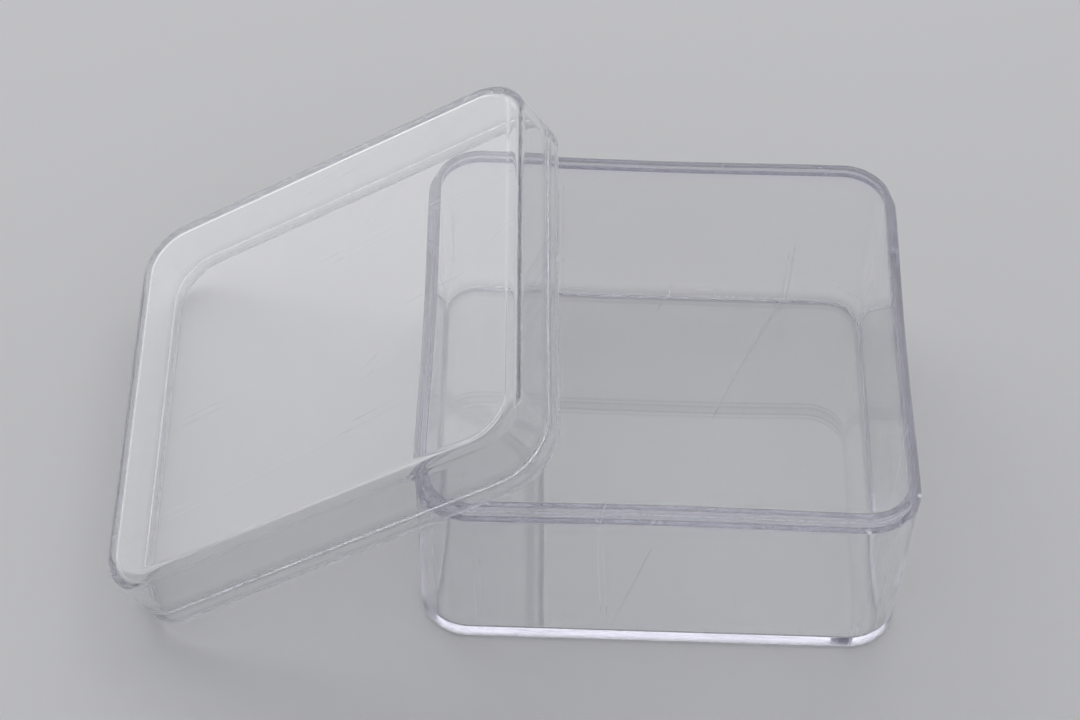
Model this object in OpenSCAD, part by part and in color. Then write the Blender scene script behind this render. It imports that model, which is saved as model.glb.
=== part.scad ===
// Clear moulded storage box with a lift-off lid.
// Two mouldings: an open base with a raised rim, and a lid whose thin lip drops over that rim.
// The lid is shown as it lies when it is taken off: one edge on the table, the other on the rim.
// Units are millimetres. The origin is the centre of the base's underside, X right, Y back, Z up.

/* [Box] */
// Outside width of the box at the rim, left to right
box_w = 100; // [70:1:160]
// Outside depth of the box at the rim, front to back
box_d = 100; // [70:1:160]
// Outside radius of the upright corners
corner_r = 11.4; // [6:0.1:20]

/* [Base] */
// Height of the shoulder that carries the lid, above the table
shoulder_h = 39.7; // [20:0.5:55]
// Height of the raised rim above the shoulder
rim_h = 3.1; // [2:0.1:6]
// Thickness of the raised rim
rim_t = 1.4; // [0.9:0.05:2.5]
// Width of the shoulder outside the raised rim
shoulder_w = 1.3; // [0.9:0.05:2.5]
// Thickness of the floor
floor_t = 1.3; // [1:0.1:5]
// How far each outer wall leans in from the shoulder to the table
base_draft = 1.1; // [0.2:0.1:2]
// How far each inner wall leans in from the rim to the floor
cavity_draft = 1.2; // [0.2:0.1:2.5]
// Radius of the outer edge round the foot
foot_edge_r = 0.8; // [0.3:0.1:1.5]
// Radius between the floor and the inner walls
floor_fillet_r = 1.1; // [0.5:0.1:3]

/* [Lid] */
// Height of the lid, from its open edge to the top of its plate
lid_h = 15.8; // [9:0.1:30]
// Thickness of the lid's plate
plate_t = 2.2; // [1.5:0.1:4]
// Thickness of the lid's side wall above its lip
lid_wall_t = 2.2; // [1.8:0.1:3.5]
// How far each outer wall of the lid leans in from its open edge to its plate
lid_draft = 0.2; // [0:0.1:0.6]
// Radius of the edge between the lid's plate and its outer walls
plate_edge_r = 3; // [1:0.1:4]
// Radius between the plate's underside and the lid's inner walls
plate_fillet_r = 1; // [0.3:0.1:2]
// How far each inner wall of the lid leans in from its ledge to its plate
hollow_draft = 0.3; // [0:0.1:0.8]

/* [Fit] */
// Clearance each side between the lid's lip and the raised rim
lip_gap = 0.15; // [0.05:0.05:0.4]
// Clearance above the raised rim when the lid is closed
rim_gap = 0.2; // [0.1:0.05:0.6]
// Radius of the two top edges of the raised rim
rim_edge_r = 0.3; // [0.1:0.05:0.4]

/* [Lid taken off] */
// Where the lid lies
lid_place = "leaning"; // [leaning, closed]
// Length of the lid that reaches past the corner it rests on
lid_overhang = 22; // [15:0.5:35]
// Turn of the lid about the upright axis, in degrees
lid_turn = 1; // [0:0.1:1.5]
// Where the back lip rests on the corner's curve, in degrees round from its left end
rest_angle = 72; // [60:1:76]
// Gap between the lid's open edge and the rim that it rests on
rest_gap = 0.3; // [0.1:0.05:0.5]

/* [Hidden] */
$fn = 96;
quarter = 90;
clear_plastic = [0.86, 0.88, 0.92, 0.45];
clear_lid = [0.84, 0.87, 0.90, 0.45];
// How far one shape sinks into another, or a cut reaches past a surface
over = 1;

// Every section is drawn out from the centre line of an upright corner
rim_top = shoulder_h + rim_h;
foot_r = corner_r - base_draft;
rim_outer_r = corner_r - shoulder_w;
rim_inner_r = rim_outer_r - rim_t;
cavity_floor_r = rim_inner_r - cavity_draft;

// The lip drops outside the raised rim, lands on the shoulder and clears the rim's top
lip_t = shoulder_w - lip_gap;
lip_inner_r = corner_r - lip_t;
ledge_h = rim_h + rim_gap;
plate_r = corner_r - lid_draft;
hollow_r = corner_r - lid_wall_t;
plate_inner_r = hollow_r - hollow_draft;
plate_under = lid_h - plate_t;

centre_x = box_w / 2 - corner_r;
centre_y = box_d / 2 - corner_r;

// Off the box, the lid's left edge is on the table and its back lip is on the raised rim.
// The length between the two and the rim's height set the tilt.
lean_len = box_w - lid_overhang;
lid_tilt = asin((rim_top + rest_gap) / lean_len);
// The place on the lip that rests, seen from above and measured from the middle of the lid
rest_x = (lean_len - box_w / 2) * cos(lid_tilt);
rest_y = box_d / 2 - lip_t;
// The same place on the curve that the raised rim makes round the back left corner
rim_x = -centre_x - rim_outer_r * cos(rest_angle);
rim_y = centre_y + rim_outer_r * sin(rest_angle);
// The middle of the lid's open edge, found by laying the one place over the other
lid_x = rim_x - rest_x * cos(lid_turn) + rest_y * sin(lid_turn);
lid_y = rim_y - rest_x * sin(lid_turn) - rest_y * cos(lid_turn);
lid_z = box_w / 2 * sin(lid_tilt);

// Half section of a tub: a flat bottom out to end_r, a round of radius r, and a leaning side
// that reaches mouth_r at height h and goes on straight up by extra
module tub_section(end_r, mouth_r, h, r, extra = 0) {
    lean = (mouth_r - end_r) / h;
    slant = sqrt(1 + lean * lean);
    // The round touches both the bottom and the leaning side
    round_x = end_r + lean * r - slant * r;
    touch = [round_x + r / slant, r - r * lean / slant];
    polygon([[0, 0], [round_x, 0], [round_x, r], touch,
             [mouth_r, h], [mouth_r, h + extra], [0, h + extra]]);
    translate([round_x, r]) circle(r);
}

// The same tub upside down, with its flat bottom at height top
module lid_shell_section(top, end_r, mouth_r, h, r, extra = 0) {
    translate([0, top]) mirror([0, 1]) tub_section(end_r, mouth_r, h, r, extra);
}

// Upright strip w wide and h high with both top corners rounded
module rim_section(w, h, r) {
    square([w, h - r]);
    translate([r, 0]) square([w - 2 * r, h]);
    for (x = [r, w - r]) translate([x, h - r]) circle(r);
}

// Wall and floor of the base: tapered outside and inside, with the set-in rim on top
module base_section() {
    difference() {
        tub_section(foot_r, corner_r, shoulder_h, foot_edge_r);
        translate([0, floor_t])
            tub_section(cavity_floor_r, rim_inner_r, shoulder_h - floor_t, floor_fillet_r, over);
    }
    translate([rim_inner_r, shoulder_h - over]) rim_section(rim_t, rim_h + over, rim_edge_r);
}

// Plate and wall of the lid, open edge down, with the ledge cut in above its thin lip
module lid_section() {
    difference() {
        lid_shell_section(lid_h, plate_r, corner_r, lid_h, plate_edge_r);
        lid_shell_section(plate_under, plate_inner_r, hollow_r, plate_under, plate_fillet_r, over);
        translate([0, -over]) square([lip_inner_r, ledge_h + over]);
    }
}

// Carries a section round the four corners and along the four sides, and fills the
// rectangle between the corners' centre lines from height low to height high
module round_the_box(low, high) {
    corners = [[centre_x, centre_y], [-centre_x, centre_y],
               [-centre_x, -centre_y], [centre_x, -centre_y]];
    for (i = [0:3])
        translate(corners[i]) rotate(i * quarter) rotate_extrude(angle = quarter) children();
    for (i = [0:3]) {
        out = i % 2 == 0 ? centre_x : centre_y;
        along = i % 2 == 0 ? centre_y : centre_x;
        rotate(i * quarter) translate([out, 0, 0]) rotate([quarter, 0, 0])
            linear_extrude(2 * along, center = true) children();
    }
    translate([-centre_x, -centre_y, low]) cube([2 * centre_x, 2 * centre_y, high - low]);
}

// The open base, standing on the table
module box_base() {
    color(clear_plastic) round_the_box(0, floor_t) base_section();
}

// The lid, either taken off and leaning on the base, or closed
module lid() {
    closed = lid_place == "closed";
    place = closed ? [0, 0, shoulder_h] : [lid_x, lid_y, lid_z];
    turn = closed ? [0, 0, 0] : [0, -lid_tilt, lid_turn];
    color(clear_lid) translate(place) rotate(turn)
        round_the_box(plate_under, lid_h) lid_section();
}

box_base();
lid();
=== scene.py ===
# %% [markdown]
# A clear moulded storage box with its lid taken off
#
# The object is two mouldings of clear plastic. Nothing hides inside them, so all of the look
# comes from two things: the exact shape of each wall, because clear plastic bends the light
# that passes through it, and the small faults of real plastic, such as matt places, sink marks,
# hairline scratches and dust. This script makes both mouldings as smooth numpy surfaces over
# the construction model, gives them a clear plastic with those faults, and lights them softly.

# %% Load the fixed frame
import math

import bpy
import numpy as np
from mathutils import Matrix, Vector


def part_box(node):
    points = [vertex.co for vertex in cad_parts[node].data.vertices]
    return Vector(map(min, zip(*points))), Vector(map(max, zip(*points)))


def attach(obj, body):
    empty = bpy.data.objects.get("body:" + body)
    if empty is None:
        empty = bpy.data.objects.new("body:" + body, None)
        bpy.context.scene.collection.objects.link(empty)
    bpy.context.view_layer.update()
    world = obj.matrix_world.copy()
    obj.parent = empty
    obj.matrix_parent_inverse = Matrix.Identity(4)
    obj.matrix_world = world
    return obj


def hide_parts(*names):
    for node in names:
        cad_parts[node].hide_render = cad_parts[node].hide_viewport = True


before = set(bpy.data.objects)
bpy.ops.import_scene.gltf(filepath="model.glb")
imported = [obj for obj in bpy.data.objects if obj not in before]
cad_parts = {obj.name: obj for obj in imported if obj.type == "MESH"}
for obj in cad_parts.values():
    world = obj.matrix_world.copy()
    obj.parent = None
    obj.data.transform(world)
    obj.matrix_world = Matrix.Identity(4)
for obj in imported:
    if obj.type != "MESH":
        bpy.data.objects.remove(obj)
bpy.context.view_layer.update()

# %% [markdown]
# Sizes
#
# The widths and heights come from the frame, so the surfaces lie where the construction model
# is. The sizes that a bounding box can't tell are named in millimetres, times MM. The corner
# radius is measured to the outside of the wall, and every section below is drawn out from the
# centre line of an upright corner.

# %% Sizes shared by both mouldings
MM = 0.001
base_low, base_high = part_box("box_base")
box_w = base_high.x - base_low.x
box_d = base_high.y - base_low.y
rim_top = base_high.z
corner_r = 11.4 * MM
rim_h = 3.1 * MM
rim_t = 1.4 * MM
shoulder_w = 1.3 * MM
lip_gap = 0.15 * MM
shoulder_h = rim_top - rim_h
centre_x = box_w / 2 - corner_r
centre_y = box_d / 2 - corner_r
print(f"box {box_w / MM:.1f} x {box_d / MM:.1f} mm, rim {rim_top / MM:.1f} mm above the table")

# %% [markdown]
# A wall section with rounded corners
#
# A moulding has no truly sharp edge, and on clear plastic each small round shows as a bright
# or dark line. A section is written as a few corner points with a radius each. Every corner is
# turned into an arc that touches both of its straight neighbours, and the direction that the
# surface faces is kept along with each point, so that shading is exact on coarse faces too.
# Blender's Bevel modifier could round the edges, but it would only guess those directions.

# %% Rounded section from corner points
ARC_STEPS = 8
LONGEST = 2.5 * MM


def rounded_section(points, radii):
    """Points, facings and kinds along a section whose corners are arcs.

    A corner of turning angle t and radius r starts its arc r * tan(t / 2) before the corner.
    The arc's centre lies r to the side of the incoming line. The facing is the line's
    direction turned a quarter to the right, and it turns evenly along the arc. A straight is
    cut into stretches no longer than LONGEST. The kind is k on the arc of corner k and
    k + 0.5 on the straight after it.
    """
    points = np.asarray(points, float)
    place, facing, kind = [points[:1]], [], [np.zeros(1)]
    first = (points[1] - points[0]) / np.linalg.norm(points[1] - points[0])
    facing.append(np.array([[first[1], -first[0]]]))
    for i in range(1, len(points)):
        before = points[i] - points[i - 1]
        before = before / np.linalg.norm(before)
        left = np.array([-before[1], before[0]])
        arc, turned, start = points[i:], -left[None], points[i]
        if i < len(points) - 1:
            after = points[i + 1] - points[i]
            after = after / np.linalg.norm(after)
            turn = math.atan2(before[0] * after[1] - before[1] * after[0], before @ after)
            start = points[i] - before * radii[i] * math.tan(abs(turn) / 2)
            spoke = start - (start + math.copysign(radii[i], turn) * left)
            angle = np.linspace(0, turn, ARC_STEPS + 1)[:, None]
            cos, sin = np.cos(angle), np.sin(angle)
            arc = start - spoke + spoke * cos + np.array([-spoke[1], spoke[0]]) * sin
            turned = before * sin - left * cos
        end = place[-1][-1]
        cuts = max(1, math.ceil(np.linalg.norm(start - end) / LONGEST))
        share = np.arange(1, cuts)[:, None] / cuts
        place += [end + (start - end) * share, arc]
        facing += [np.repeat(-left[None], cuts - 1, axis=0), turned]
        kind += [np.full(cuts - 1, i - 0.5), np.full(len(arc), float(i))]
    return np.concatenate(place), np.concatenate(facing), np.concatenate(kind)


sample = rounded_section([(0, 0), (5 * MM, 0), (5 * MM, 5 * MM)], [0, MM, 0])
print("a 5 mm corner with a 1 mm round has", len(sample[0]), "points")

# %% [markdown]
# The path round the box
#
# The real mould is milled by carrying one profile round a square with rounded corners. Here
# the path is the rectangle of the four corner centres, with a direction that points outwards:
# it stands still along a side and turns a quarter at each corner.

# %% Path round the box
CORNER_STEPS = 28
SIDE_STEPS = 26
QUARTER = math.pi / 2


def box_path():
    """Centre line points, outward angles and place along the side, once round the box.

    On side k the outward angle is k quarters and the point runs from one corner centre to the
    next, with place -1 to 1. At the corner after it the point stands still and the angle
    turns one more quarter.
    """
    centres, angles, along = [], [], []
    corners = np.array([[1, -1], [1, 1], [-1, 1], [-1, -1]]) * [centre_x, centre_y]
    for k in range(4):
        share = np.linspace(0, 1, SIDE_STEPS, endpoint=False)[:, None]
        start, end = corners[k], corners[(k + 1) % 4]
        centres.append(start + (end - start) * share)
        angles.append(np.full(SIDE_STEPS, k * QUARTER))
        along.append(2 * share[:, 0] - 1)
        centres.append(np.repeat(end[None], CORNER_STEPS, axis=0))
        angles.append((k + np.linspace(0, 1, CORNER_STEPS, endpoint=False)) * QUARTER)
        along.append(np.ones(CORNER_STEPS))
    return np.concatenate(centres), np.concatenate(angles), np.concatenate(along)


centres, angles, along = box_path()
# Half the length of the side that each point is on
half_side = np.where(np.abs(np.cos(angles)) > 0.999, centre_y, centre_x)
print("path points", len(angles))

# %% [markdown]
# Carrying the section along the path
#
# A long flat side sinks in a little at its middle as the plastic shrinks, and its reflections
# bend there. So each point's distance out from the path gets smaller by a smooth bulge that is
# 1 at the middle of a side and 0 at its ends, and the facing leans by the slope of that bulge.
# All points come from one formula on arrays, which is faster than a loop and has no seam.

# %% Points and facings of a moulding
def carried(section, bow):
    """Rings of points and of facings, one ring for each inner point of the section.

    Point = centre + outward * (out - sink * bulge), at the section's height. Sink is
    bow(height), and bulge is (1 - s * s) squared, with s the place along the side.
    """
    points, facings, _ = section
    out, height = points[1:-1, 0][:, None], points[1:-1, 1][:, None]
    sink = bow(height)
    bulge = (1 - along ** 2) ** 2
    slope = -4 * along * (1 - along ** 2) / half_side
    cos, sin = np.cos(angles), np.sin(angles)
    reach = out - sink * bulge
    rings = np.stack([centres[:, 0] + reach * cos, centres[:, 1] + reach * sin,
                      np.broadcast_to(height, reach.shape)], axis=-1)
    face_out = facings[1:-1, 0][:, None]
    face_up = facings[1:-1, 1][:, None]
    lean = face_out * sink * slope
    normals = np.stack([face_out * cos - lean * sin, face_out * sin + lean * cos,
                        np.broadcast_to(face_up, reach.shape)], axis=-1)
    return rings, normals


# %% [markdown]
# Closing the surface
#
# Light is bent rightly only where a surface is closed, so that Cycles knows where the plastic
# starts and ends. Neighbouring rings are joined by four-sided faces. The section's first and
# last points lie over the middle of the box, so they become two poles, each joined to its ring
# by a fan of triangles, which closes the floor or the plate.

# %% Faces of a moulding
def closed_faces(rows, cols):
    """Corner numbers and face sizes: poles are points 0 and 1, rings follow row by row."""
    number = 2 + np.arange(rows * cols).reshape(rows, cols)
    right = np.roll(number, -1, axis=1)
    quads = np.stack([number[:-1], right[:-1], right[1:], number[1:]], axis=-1).reshape(-1, 4)
    first = np.stack([np.zeros(cols, int), right[0], number[0]], axis=-1)
    last = np.stack([np.ones(cols, int), number[-1], right[-1]], axis=-1)
    corner_ids = np.concatenate([quads.ravel(), first.ravel(), last.ravel()])
    return corner_ids, np.concatenate([np.full(len(quads), 4), np.full(2 * cols, 3)])


print("2 rings of 4 points make", len(closed_faces(2, 4)[1]), "faces")

# %% [markdown]
# From arrays to a Blender mesh
#
# foreach_set hands whole arrays to Blender at once. The known facings are set as custom
# normals, because the averaged normals of faces would show as ripples in clear plastic. Marks
# such as frost become attributes, which the material reads later.

# %% Mesh object of a moulding
def moulding(name, section, bow, marks, place=None, turn=None):
    """Closed mesh from a section, turned and placed in its points, not in its object.

    marks maps an attribute's name to its value at each section point.
    """
    points, facings, _ = section
    rings, ring_normals = carried(section, bow)
    poles = np.array([[0, 0, points[0, 1]], [0, 0, points[-1, 1]]])
    pole_normals = np.array([[0, 0, facings[0, 1]], [0, 0, facings[-1, 1]]])
    verts = np.concatenate([poles, rings.reshape(-1, 3)])
    normals = np.concatenate([pole_normals, ring_normals.reshape(-1, 3)])
    if turn is not None:
        verts = verts @ turn.T + place
        normals = normals @ turn.T
    rows, cols = rings.shape[:2]
    corner_ids, sizes = closed_faces(rows, cols)
    mesh = bpy.data.meshes.new(name)
    mesh.vertices.add(len(verts))
    mesh.vertices.foreach_set("co", verts.astype(np.float32).ravel())
    mesh.loops.add(len(corner_ids))
    mesh.loops.foreach_set("vertex_index", corner_ids.astype(np.int32))
    mesh.polygons.add(len(sizes))
    starts = np.concatenate([[0], np.cumsum(sizes)[:-1]])
    mesh.polygons.foreach_set("loop_start", starts.astype(np.int32))
    mesh.update(calc_edges=True)
    mesh.validate()
    mesh.polygons.foreach_set("use_smooth", np.ones(len(sizes), bool))
    length = np.linalg.norm(normals, axis=1, keepdims=True)
    mesh.normals_split_custom_set_from_vertices((normals / length).tolist())
    for mark, values in marks.items():
        spread = np.concatenate([values[[0, -1]], np.repeat(values[1:-1], cols)])
        layer = mesh.attributes.new(mark, "FLOAT", "POINT")
        layer.data.foreach_set("value", spread.astype(np.float32))
    piece = bpy.data.objects.new(name, mesh)
    bpy.context.scene.collection.objects.link(piece)
    print(name, "has", len(verts), "points and", len(sizes), "faces")
    return piece


# %% [markdown]
# The base's section
#
# It starts under the middle of the floor, goes out and up the tapered wall, in over the
# shoulder that carries the lid, up and over the thin raised rim, and down the inside to the
# middle of the floor. The taper lets the real moulding leave its mould. The floor is thin: its
# thickness was found from the height of the bright band that it shows along the foot.

# %% Base section
floor_t = 1.3 * MM
base_draft = 1.1 * MM
cavity_draft = 1.2 * MM
foot_r = corner_r - base_draft
rim_outer_r = corner_r - shoulder_w
rim_inner_r = rim_outer_r - rim_t
cavity_floor_r = rim_inner_r - cavity_draft

base_corners = [(0, 0), (foot_r, 0), (corner_r, shoulder_h), (rim_outer_r, shoulder_h),
                (rim_outer_r, rim_top), (rim_inner_r, rim_top), (rim_inner_r, shoulder_h),
                (cavity_floor_r, floor_t), (0, floor_t)]
base_radii = np.array([0, 0.8, 0.18, 0.12, 0.3, 0.3, 3.0, 1.1, 0]) * MM
base_section = rounded_section(base_corners, base_radii)
print("base section has", len(base_section[0]), "points")

# %% [markdown]
# The base's marks and sink
#
# Not all of the base is polished. The raised rim's outer side and the shoulder were left matt
# in the mould, and the table has worn the foot's edge. The kind that the section keeps for
# each point tells where those places are, so no painting by hand is needed. The sides sink in
# most at the free rim and hardly at all at the floor, which holds them.

# %% Base moulding
SIDE_SINK = 0.45 * MM
SINK_POWER = 1.5
RIM_EDGE = 0.3 * MM
FOOT_EDGE, SHOULDER, RIM_SIDE = 1, 2.5, 3.5

on_base = base_section[2]
base_frost = np.select([on_base == RIM_SIDE, on_base == SHOULDER, on_base == FOOT_EDGE],
                       [1.0, 0.5, 0.8])
base_rim = (base_section[0][:, 1] > shoulder_h - RIM_EDGE).astype(float)

base_piece = moulding("clear_base", base_section,
                      lambda z: SIDE_SINK * np.clip(z / rim_top, 0, 1) ** SINK_POWER,
                      {"frost": base_frost, "rim": base_rim})
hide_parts("box_base")

# %% [markdown]
# Where the lid lies
#
# The lid leans: one edge is on the table and the back lip is on the curve of the base's raised
# rim. Its tilt follows from the rim's height and the length between the two rests. Its place is
# found by laying the resting place of the lip over the curve. Typing in a place by eye would
# leave it hanging or cutting into the rim. A table of nine numbers turns the points.

# %% The lid's turn and place
lid_overhang = 22 * MM
rest_gap = 0.3 * MM
lid_turn = math.radians(1)
rest_angle = math.radians(72)
lean_len = box_w - lid_overhang
lid_tilt = math.asin((rim_top + rest_gap) / lean_len)
lip_t = shoulder_w - lip_gap
rest_x = (lean_len - box_w / 2) * math.cos(lid_tilt)
rest_y = box_d / 2 - lip_t
touch = np.array([-centre_x - rim_outer_r * math.cos(rest_angle),
                  centre_y + rim_outer_r * math.sin(rest_angle)])
cos_turn, sin_turn = math.cos(lid_turn), math.sin(lid_turn)
cos_tilt, sin_tilt = math.cos(lid_tilt), math.sin(lid_tilt)
lid_place = np.array([touch[0] - rest_x * cos_turn + rest_y * sin_turn,
                      touch[1] - rest_x * sin_turn - rest_y * cos_turn,
                      box_w / 2 * sin_tilt])
turn_up = np.array([[cos_turn, -sin_turn, 0], [sin_turn, cos_turn, 0], [0, 0, 1]])
turn_over = np.array([[cos_tilt, 0, -sin_tilt], [0, 1, 0], [sin_tilt, 0, cos_tilt]])
lid_turned = turn_up @ turn_over
lid_middle = np.round(lid_place / MM, 2)
print(f"lid tilted {math.degrees(lid_tilt):.2f} degrees, middle at {lid_middle} mm")

# %% [markdown]
# The lid's section
#
# It starts under the middle of the plate and goes out and down the inside of the wall, over
# the ledge that lets the lip drop past the base's rim, round the thin lip at the open edge,
# and back up the outside to the large rounded edge and the top of the plate. The ledge and the
# end of the lip show as two thin lines that run along the whole open edge.

# %% Lid section
lid_h = 15.8 * MM
plate_t = 2.2 * MM
lid_wall_t = 2.2 * MM
lid_draft = 0.2 * MM
hollow_draft = 0.3 * MM
rim_gap = 0.2 * MM
plate_under = lid_h - plate_t
ledge_h = rim_h + rim_gap
lip_inner_r = corner_r - lip_t
hollow_r = corner_r - lid_wall_t
plate_inner_r = hollow_r - hollow_draft
plate_r = corner_r - lid_draft

lid_corners = [(0, plate_under), (plate_inner_r, plate_under), (hollow_r, ledge_h),
               (lip_inner_r, ledge_h), (lip_inner_r, 0), (corner_r, 0), (plate_r, lid_h),
               (0, lid_h)]
lid_radii = np.array([0, 1.0, 0.25, 0.2, 0.3, 0.3, 3.02, 0]) * MM
lid_section = rounded_section(lid_corners, lid_radii)
print("lid section has", len(lid_section[0]), "points")

# %% [markdown]
# The lid's marks and sink
#
# The ledge and the end of the lip are a little matt, and catch the light. The lid's wall is
# short and stands on a stiff plate, so it sinks in much less than the base's sides do, and
# most at its open edge.

# %% Lid moulding
LID_SINK = 0.12 * MM
LEDGE, LIP_END = 2.5, 4.5

on_lid = lid_section[2]
lid_frost = np.isin(on_lid, (2, LEDGE, 3, 4, LIP_END, 5)).astype(float)
lid_rim = np.isin(on_lid, (LEDGE, LIP_END)) * 0.5

lid_piece = moulding("clear_lid", lid_section,
                     lambda z: LID_SINK * np.clip(1 - z / lid_h, 0, 1),
                     {"frost": lid_frost, "rim": lid_rim}, lid_place, lid_turned)
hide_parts("lid")

# %% [markdown]
# Shader maths written as Python
#
# A material is a graph of nodes, and its sums read better as sums. The class below holds one
# output socket. An operator adds the Math node that does it and returns the new socket, and
# one method adds any other kind of node.

# %% Socket class
class Value:
    """One output socket, with operators that add Math nodes to its tree."""

    def __init__(self, tree, socket):
        self.tree = tree
        self.socket = socket

    def node(self, kind, settings=None, **inputs):
        """Adds a node: first its settings, then its inputs by name, or by number as _0, _1."""
        made = self.tree.nodes.new(kind)
        for key, setting in (settings or {}).items():
            setattr(made, key, setting)
        for key, given in inputs.items():
            slot = int(key[1:]) if key[0] == "_" else key.replace("_", " ")
            if isinstance(given, Value):
                self.tree.links.new(given.socket, made.inputs[slot])
            else:
                made.inputs[slot].default_value = given
        return made

    def out(self, made, name=0):
        """The output of a node as a Value."""
        return Value(self.tree, made.outputs[name])

    def maths(self, operation, *others):
        """A Math node on this socket and others."""
        inputs = {f"_{i + 1}": other for i, other in enumerate(others)}
        return self.out(self.node("ShaderNodeMath", {"operation": operation}, _0=self, **inputs))

    def __add__(self, other):
        return self.maths("ADD", other)

    def __sub__(self, other):
        return self.maths("SUBTRACT", other)

    def __mul__(self, other):
        return self.maths("MULTIPLY", other)

    def __rsub__(self, other):
        return self.out(self.node("ShaderNodeMath", {"operation": "SUBTRACT"}, _0=other, _1=self))

    __radd__ = __add__
    __rmul__ = __mul__

    def above(self, edge, soft):
        """0 below edge - soft and 1 above edge + soft, with a smooth step between."""
        made = self.node("ShaderNodeMapRange", {"interpolation_type": "SMOOTHSTEP"}, Value=self,
                         From_Min=edge - soft, From_Max=edge + soft)
        return self.out(made)


# %% [markdown]
# Scratches
#
# A box like this slides in and out of drawers, so it has hairline scratches that run straight
# for a few centimetres. Space is cut into strips along one direction, and each strip has one
# line in its middle, which noise breaks up. A picture of scratches would be simpler, but it
# would repeat and blur. The line is a real 0.1 mm wide whatever the strips measure.

# %% Noise and hairline scratches
LINE_HALF = 0.05 * MM
LINE_SOFT = 0.03 * MM


def noise(place, size, detail, seed):
    """Noise from 0 to 1 whose blobs are about size metres across."""
    made = place.node("ShaderNodeTexNoise", {"noise_dimensions": "4D"}, Vector=place, W=seed,
                      Scale=1 / size, Detail=detail)
    return place.out(made, "Fac")


def hairlines(place, angle, spacing, length, keep, seed):
    """Thin straight scratches along one direction.

    The distance across the lines is warped a little and wrapped into strips of one spacing
    each. A line is where the wrapped distance is close to the middle of its strip, and it
    shows only where noise stretched along it is above keep.
    """
    turned = place.out(place.node("ShaderNodeMapping", {"vector_type": "POINT"}, Vector=place,
                                  Rotation=(0.3 * seed, 0.2 * seed, angle)))
    parts = turned.node("ShaderNodeSeparateXYZ", Vector=turned)
    across = turned.out(parts, "X") + 6 * MM * noise(turned, 60 * MM, 0, seed)
    strip = (across * (1 / spacing)).maths("FRACT")
    far = (strip - 0.5).maths("ABSOLUTE").above(LINE_HALF / spacing, LINE_SOFT / spacing)
    squeeze = turned.out(turned.node("ShaderNodeMapping", {"vector_type": "POINT"}, Vector=turned,
                                     Scale=(1 / spacing * length, 1, 1)))
    return (1 - far) * noise(squeeze, length, 1, seed + 3).above(keep, 0.03)


# %% [markdown]
# Dust and nicks
#
# Clear plastic draws dust, and its thin rim gets small nicks. Both are round specks, so a
# pattern of random cells is used: a speck sits at the middle of a few cells, chosen by each
# cell's random colour. It costs far less than real grains, which no one would see at this size.

# %% Specks
def specks(place, cell, radius, keep):
    """Round specks near the middle of a share keep of the cells of a random pattern."""
    cells = place.node("ShaderNodeTexVoronoi", {"feature": "F1"}, Vector=place, Scale=1 / cell)
    near = 1 - place.out(cells, "Distance").above(radius / cell, 0.3 * radius / cell)
    chosen = place.out(place.node("ShaderNodeSeparateColor", Color=place.out(cells, "Color")), 0)
    return near * chosen.above(1 - keep, 0.01)


# %% [markdown]
# Clear plastic
#
# Acrylic bends light a little less than glass does. Perfectly smooth it would look like water,
# so the material adds what years of handling leave: faint haze in patches, scratches, dust and
# nicks, a fine grain where the frost mark is set, and the slow waviness of a moulded skin. A
# thin milky cover stands for what scatters light: it is mixed in only where a fault is. The
# thick edges look faintly violet, because the plastic takes more red and green than blue out of
# the light on its way. The volume does that by length, so the long way through an edge tints
# more than the short way through a wall, and only the rim gets a little extra tint.

# %% The clear plastic
ACRYLIC_IOR = 1.49
ABSORPTION = 4.5
POLISHED = 0.008
WAVE_HEIGHT = 0.012 * MM
GRAIN_HEIGHT = 0.003 * MM


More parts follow.
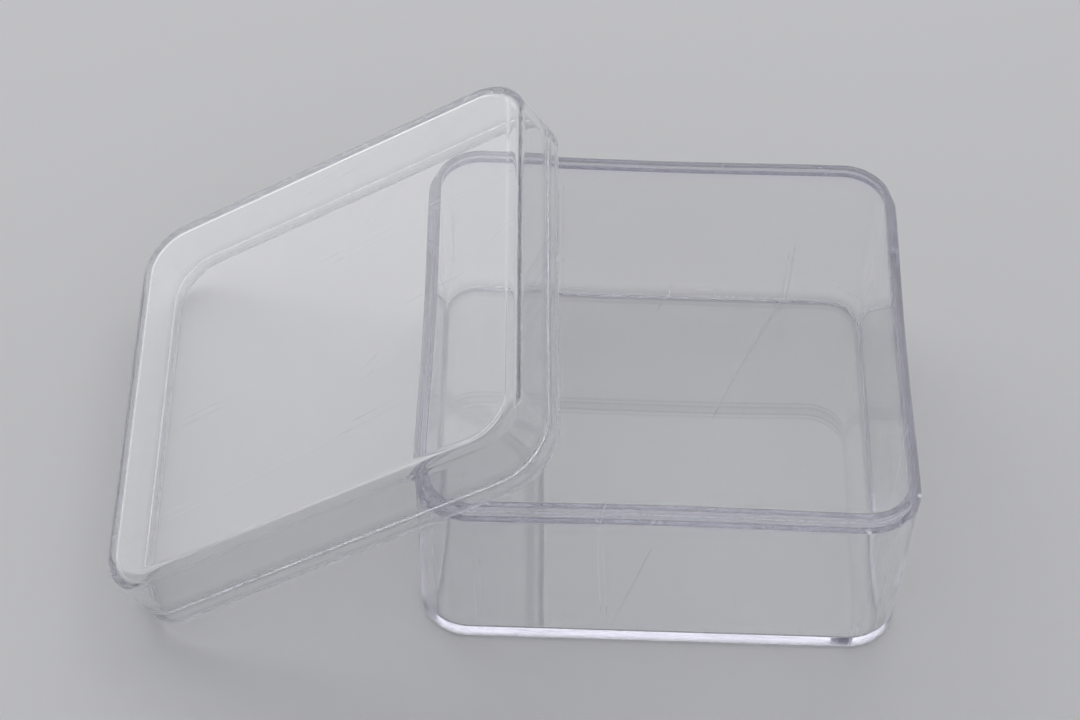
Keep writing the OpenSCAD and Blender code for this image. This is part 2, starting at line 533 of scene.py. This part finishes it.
def clear_plastic(name, seed):
    """Clear plastic with haze, scratches, dust, waviness, matt places and violet edges."""
    material = bpy.data.materials.new(name)
    material.use_nodes = True
    tree = material.node_tree
    tree.nodes.clear()
    start = tree.nodes.new("ShaderNodeTexCoord")
    place = Value(tree, start.outputs["Object"])

    frost = place.out(place.node("ShaderNodeAttribute", {"attribute_name": "frost"}), "Fac")
    rim = place.out(place.node("ShaderNodeAttribute", {"attribute_name": "rim"}), "Fac")
    patches = noise(place, 35 * MM, 3, seed).above(0.55, 0.2)
    scratches = hairlines(place, 0.4 + seed, 23 * MM, 40 * MM, 0.56, seed)
    scratches = scratches + hairlines(place, 1.9 + seed, 31 * MM, 30 * MM, 0.58, seed + 7)
    dust = specks(place, 3.2 * MM, 0.17 * MM, 0.14)
    nicks = specks(place, 5 * MM, 0.5 * MM, 0.3) * rim
    grain = noise(place, 0.4 * MM, 2, seed + 1)

    roughness = (POLISHED + 0.02 * patches + 0.3 * scratches + frost * (0.2 + 0.2 * grain)
                 ).maths("MINIMUM", 1)
    tint = place.node("ShaderNodeMix", {"data_type": "RGBA"}, Factor=rim)
    tint.inputs["A"].default_value = (0.985, 0.988, 0.995, 1)
    tint.inputs["B"].default_value = (0.93, 0.92, 0.98, 1)
    upright = place.out(place.node("ShaderNodeMapping", {"vector_type": "POINT"}, Vector=place,
                                   Scale=(1, 1, 0.15)))
    waves = noise(upright, 14 * MM, 1, seed + 5)
    relief = waves * (1 - rim) * WAVE_HEIGHT + frost * grain * GRAIN_HEIGHT
    bump = place.node("ShaderNodeBump", Height=relief, Distance=1.0, Strength=1.0)

    clear = place.node("ShaderNodeBsdfPrincipled", Base_Color=place.out(tint, "Result"),
                       Roughness=roughness, Normal=place.out(bump, "Normal"))
    clear.inputs["Transmission Weight"].default_value = 1
    clear.inputs["IOR"].default_value = ACRYLIC_IOR
    milky = place.node("ShaderNodeBsdfPrincipled", Normal=place.out(bump, "Normal"))
    milky.inputs["Base Color"].default_value = (0.86, 0.86, 0.93, 1)
    milky.inputs["Roughness"].default_value = 0.7
    cover = (dust * 0.9 + nicks * 0.8 + scratches * 0.4 + frost * (0.22 + 0.12 * grain)
             ).maths("MINIMUM", 1)
    mixed = place.node("ShaderNodeMixShader", _0=cover, _1=place.out(clear), _2=place.out(milky))
    inside = tree.nodes.new("ShaderNodeVolumeAbsorption")
    inside.inputs["Color"].default_value = (0.30, 0.28, 0.52, 1)
    inside.inputs["Density"].default_value = ABSORPTION
    place.node("ShaderNodeOutputMaterial", Surface=place.out(mixed), Volume=place.out(inside))
    print(name, "has", len(tree.nodes), "nodes")
    return material


# %% [markdown]
# Dressing both pieces
#
# Base and lid were moulded from the same plastic but handled apart, so they share the material
# function with another seed, which moves every scratch and speck. Each piece then rides on its
# body of the moving model, so the lid lifts off with its own faults.

# %% Give each piece its plastic and its body
base_piece.data.materials.append(clear_plastic("base plastic", 0.0))
lid_piece.data.materials.append(clear_plastic("lid plastic", 1.3))
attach(base_piece, "base")
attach(lid_piece, "lid")

# %% [markdown]
# The table
#
# Clear plastic shows only what is around it, so the studio matters as much as the material.
# The floor is plain and pale, and wide enough to fill every view. It lies a hair under the
# box, because two surfaces at the same height would flicker in the render.

# %% Floor
FLOOR_HALF = 3.0
FLOOR_DROP = 0.02 * MM

floor_mesh = bpy.data.meshes.new("floor")
floor_mesh.from_pydata([(-FLOOR_HALF, -FLOOR_HALF, 0), (FLOOR_HALF, -FLOOR_HALF, 0),
                        (FLOOR_HALF, FLOOR_HALF, 0), (-FLOOR_HALF, FLOOR_HALF, 0)],
                       [], [(0, 1, 2, 3)])
floor = bpy.data.objects.new("floor", floor_mesh)
floor.location.z = -FLOOR_DROP
bpy.context.scene.collection.objects.link(floor)
floor_paint = bpy.data.materials.new("floor")
floor_paint.use_nodes = True
floor_shader = floor_paint.node_tree.nodes["Principled BSDF"]
floor_shader.inputs["Base Color"].default_value = (0.56, 0.56, 0.57, 1)
floor_shader.inputs["Roughness"].default_value = 0.6
floor_mesh.materials.append(floor_paint)
print("floor", 2 * FLOOR_HALF, "m wide")

# %% [markdown]
# The light
#
# Two wide soft lamps stand for windows. The one above and behind is what the foot's bright
# band and the rims mirror. The one to the left is mirrored by the leaning plate, which shows
# that it is there at all. Wide lamps are used at low power, because a small strong one would
# burn those places out to white. The room's plain light fills in the rest.

# %% Lamps and room
def lamp(name, spot, aim, width, height, power):
    """Rectangular soft lamp at spot, turned to aim."""
    light = bpy.data.lights.new(name, "AREA")
    light.shape = "RECTANGLE"
    light.size, light.size_y, light.energy = width, height, power
    made = bpy.data.objects.new(name, light)
    made.location = spot
    made.rotation_euler = Vector(np.subtract(aim, spot)).to_track_quat("-Z", "Y").to_euler()
    bpy.context.scene.collection.objects.link(made)
    print(name, "lamp:", power, "W over", width, "x", height, "m")


lamp("window", (-0.1, 0.85, 1.0), (-0.02, 0, 0.02), 1.7, 1.2, 6.6)
lamp("side", (-1.2, 1.0, 0.45), (-0.05, 0, 0.03), 1.2, 1.0, 3.6)

world = bpy.data.worlds.new("room")
bpy.context.scene.world = world
world.use_nodes = True
world.node_tree.nodes["Background"].inputs["Color"].default_value = (0.60, 0.605, 0.62, 1)

# %% [markdown]
# The camera
#
# The photograph was taken with a short telephoto lens from in front and well above, held a
# little askew. The place, turn and lens below were worked out from the outlines of both
# mouldings in the picture, so that render and photograph can be laid over each other.

# %% Camera
PHOTO_W = 1080
SENSOR = 36.0
camera_azimuth = math.radians(-0.74)
camera_elevation = math.radians(48.68)
camera_roll = math.radians(2.36)
camera_distance = 608.3 * MM
focal_pixels = 2817.0
camera_aim = np.array([-25.65, 13.64, 15.42]) * MM

back = np.array([math.sin(camera_azimuth) * math.cos(camera_elevation),
                 -math.cos(camera_azimuth) * math.cos(camera_elevation),
                 math.sin(camera_elevation)])
side = np.cross(-back, [0, 0, 1])
side /= np.linalg.norm(side)
top = np.cross(side, -back)
cos_roll, sin_roll = math.cos(camera_roll), math.sin(camera_roll)
pose = np.eye(4)
pose[:3, 0] = side * cos_roll + top * sin_roll
pose[:3, 1] = top * cos_roll - side * sin_roll
pose[:3, 2] = back
pose[:3, 3] = camera_aim + back * camera_distance

camera_data = bpy.data.cameras.new("camera")
camera_data.sensor_width = SENSOR
camera_data.lens = focal_pixels / PHOTO_W * SENSOR
camera_data.clip_start, camera_data.clip_end = 0.01, 20
camera = bpy.data.objects.new("camera", camera_data)
camera.matrix_world = Matrix(pose.tolist())
bpy.context.scene.collection.objects.link(camera)
bpy.context.scene.camera = camera
print(f"lens {camera_data.lens:.1f} mm")

# %% [markdown]
# How light is followed
#
# The clear floor of the box guides light along itself, from wall to wall, before it leaves at
# the foot. Fewer bounces would end those paths early and leave dark patches there. Reflections
# seen after a matt surface are blurred a little and very bright paths are capped, which keeps
# the noise low. The denoiser looks at colour and albedo only, since guiding it by the normals
# of surfaces behind one another makes thin lines look sketched.

# %% Render settings
MOST_BOUNCES = 128

bpy.context.scene.view_settings.view_transform = "Standard"
cycles = bpy.context.scene.cycles
cycles.max_bounces = cycles.transmission_bounces = cycles.glossy_bounces = MOST_BOUNCES
cycles.blur_glossy = 0.25
cycles.denoising_input_passes = "RGB_ALBEDO"
cycles.sample_clamp_indirect = 4
print("bounces", cycles.max_bounces)
